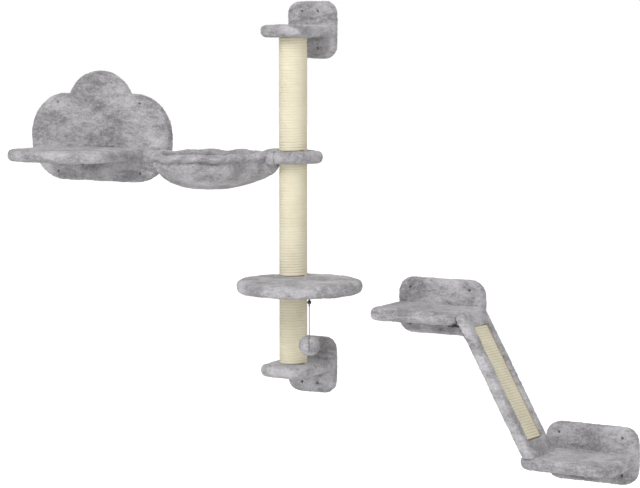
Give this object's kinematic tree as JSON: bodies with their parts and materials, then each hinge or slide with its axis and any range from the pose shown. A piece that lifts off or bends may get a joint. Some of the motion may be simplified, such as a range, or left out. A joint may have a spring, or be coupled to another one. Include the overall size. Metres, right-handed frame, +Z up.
{
  "type": "wall mounted cat tree",
  "caption": "Wall mounted cat tree: sisal column with hammock, perch and hanging toy, a bed shelf, and steps joined by a scratching ramp.",
  "frame": {"origin": "middle of the top plate's four wall screws, on the wall plane", "axes": "+X right along the wall as seen by someone facing it, +Y into the wall, +Z up; the object stands out towards -Y"},
  "size_m": [1.969, 0.377, 1.269],
  "materials": {
    "black_plastic": "matt black",
    "brass": "plain",
    "brown_cord": "thin twisted cord, dark brown",
    "cardboard": "wound kraft cardboard, matt",
    "plush": "short dense plush, light grey with darker brushed patches",
    "sisal_rope": "natural twisted sisal, cream",
    "steel": "zinc plated",
    "toy_plush": "long fluffy plush, light grey",
    "wood": "raw fibreboard"
  },
  "bodies": {
    "root": {"bed_back_board": "wood", "bed_back_cover": "plush", "bed_joint_screws": "steel", "bed_seat_board": "wood", "bed_seat_cover": "plush", "bottom_joint_screws": "steel", "bottom_shelf_board": "wood", "bottom_shelf_cover": "plush", "bottom_wall_board": "wood", "bottom_wall_cover": "plush", "clamp_studs": "steel", "end_bolts": "steel", "hammock_collar_board": "wood", "hammock_collar_cover": "plush", "hammock_ring": "steel", "hammock_sling": "plush", "lower_post_discs": "wood", "lower_post_rope": "sisal_rope", "lower_post_tube": "cardboard", "lower_step_board": "wood", "lower_step_cover": "plush", "lower_step_joint_screws": "steel", "lower_step_wall_board": "wood", "lower_step_wall_cover": "plush", "middle_post_discs": "wood", "middle_post_rope": "sisal_rope", "middle_post_tube": "cardboard", "perch_board": "wood", "perch_cover": "plush", "ramp_board": "wood", "ramp_cover": "plush", "ramp_heel_screws": "steel", "ramp_inlay_board": "wood", "ramp_inlay_screws": "steel", "ramp_rope": "sisal_rope", "ramp_strap_screws": "steel", "ramp_straps": "steel", "thread_inserts": "brass", "top_joint_screws": "steel", "top_shelf_board": "wood", "top_shelf_cover": "plush", "top_wall_board": "wood", "top_wall_cover": "plush", "toy_anchor": "black_plastic", "upper_post_discs": "wood", "upper_post_rope": "sisal_rope", "upper_post_tube": "cardboard", "upper_step_board": "wood", "upper_step_cover": "plush", "upper_step_joint_screws": "steel", "upper_step_wall_board": "wood", "upper_step_wall_cover": "plush"},
    "knot": {"toy_knot": "brown_cord"},
    "cord": {"toy_cord": "brown_cord"},
    "ball": {"toy_ball": "toy_plush"}
  },
  "joints": [
    {"name": "toy_swing_front", "type": "hinge", "parent": "root", "child": "knot", "pos_m": [0.165, -0.31, -0.7338], "axis": [1, 0, 0], "range_deg": [-70, 70]},
    {"name": "toy_swing_side", "type": "hinge", "parent": "knot", "child": "cord", "pos_m": [0.165, -0.31, -0.7338], "axis": [0, 1, 0], "range_deg": [-70, 70]},
    {"name": "toy_twist", "type": "hinge", "parent": "cord", "child": "ball", "pos_m": [0.165, -0.31, -0.8429], "axis": [0, 0, 1], "continuous": true}
  ]
}
